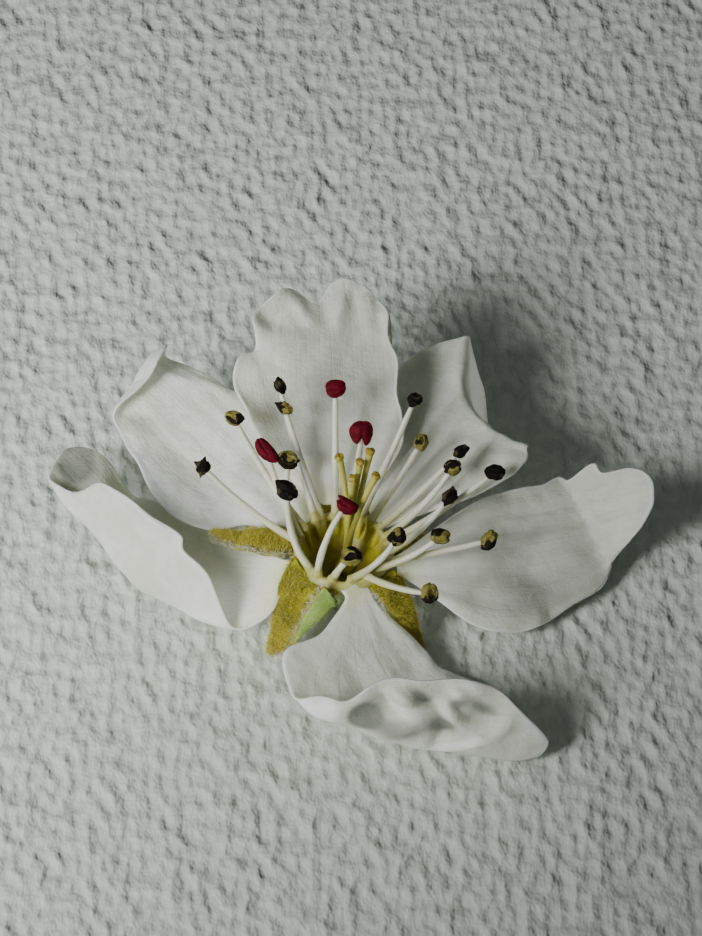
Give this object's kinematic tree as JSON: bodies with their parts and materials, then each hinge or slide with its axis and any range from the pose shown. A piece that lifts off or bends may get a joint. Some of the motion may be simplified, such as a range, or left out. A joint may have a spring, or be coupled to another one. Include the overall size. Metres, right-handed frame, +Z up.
{
  "type": "pear blossom",
  "caption": "Open pear blossom lying on its back: curled white petals round a yellow-green cup, with woolly sepals, long stamens and styles.",
  "frame": {"origin": "centre of the flat cut face under the cup, on the surface that the blossom lies on", "axes": "+Z up, along the cup's axis and out of its mouth; +X to the right as the blossom is seen from its front, along its widest span; +Y away, towards its back petal"},
  "size_m": [0.0337, 0.0273, 0.0102],
  "materials": {
    "petal": "matt white, thin and slightly see-through",
    "sepal": "matt, woolly, yellow-olive",
    "cup": "soft satin yellow-green",
    "stamen": "satin cream, with dark red and black anthers in the visual model",
    "pistil": "satin yellow-green"
  },
  "bodies": {
    "root": {"petal_left_front": "petal", "petal_left_back": "petal", "petal_back": "petal", "petal_right_back": "petal", "petal_right": "petal", "petal_front": "petal", "sepal_left": "sepal", "sepal_front_left": "sepal", "sepal_front_right": "sepal", "sepal_right": "sepal", "sepal_back_right": "sepal", "sepal_back_left": "sepal", "calyx_cup": "cup", "stamens": "stamen", "pistil": "pistil"}
  },
  "joints": []
}
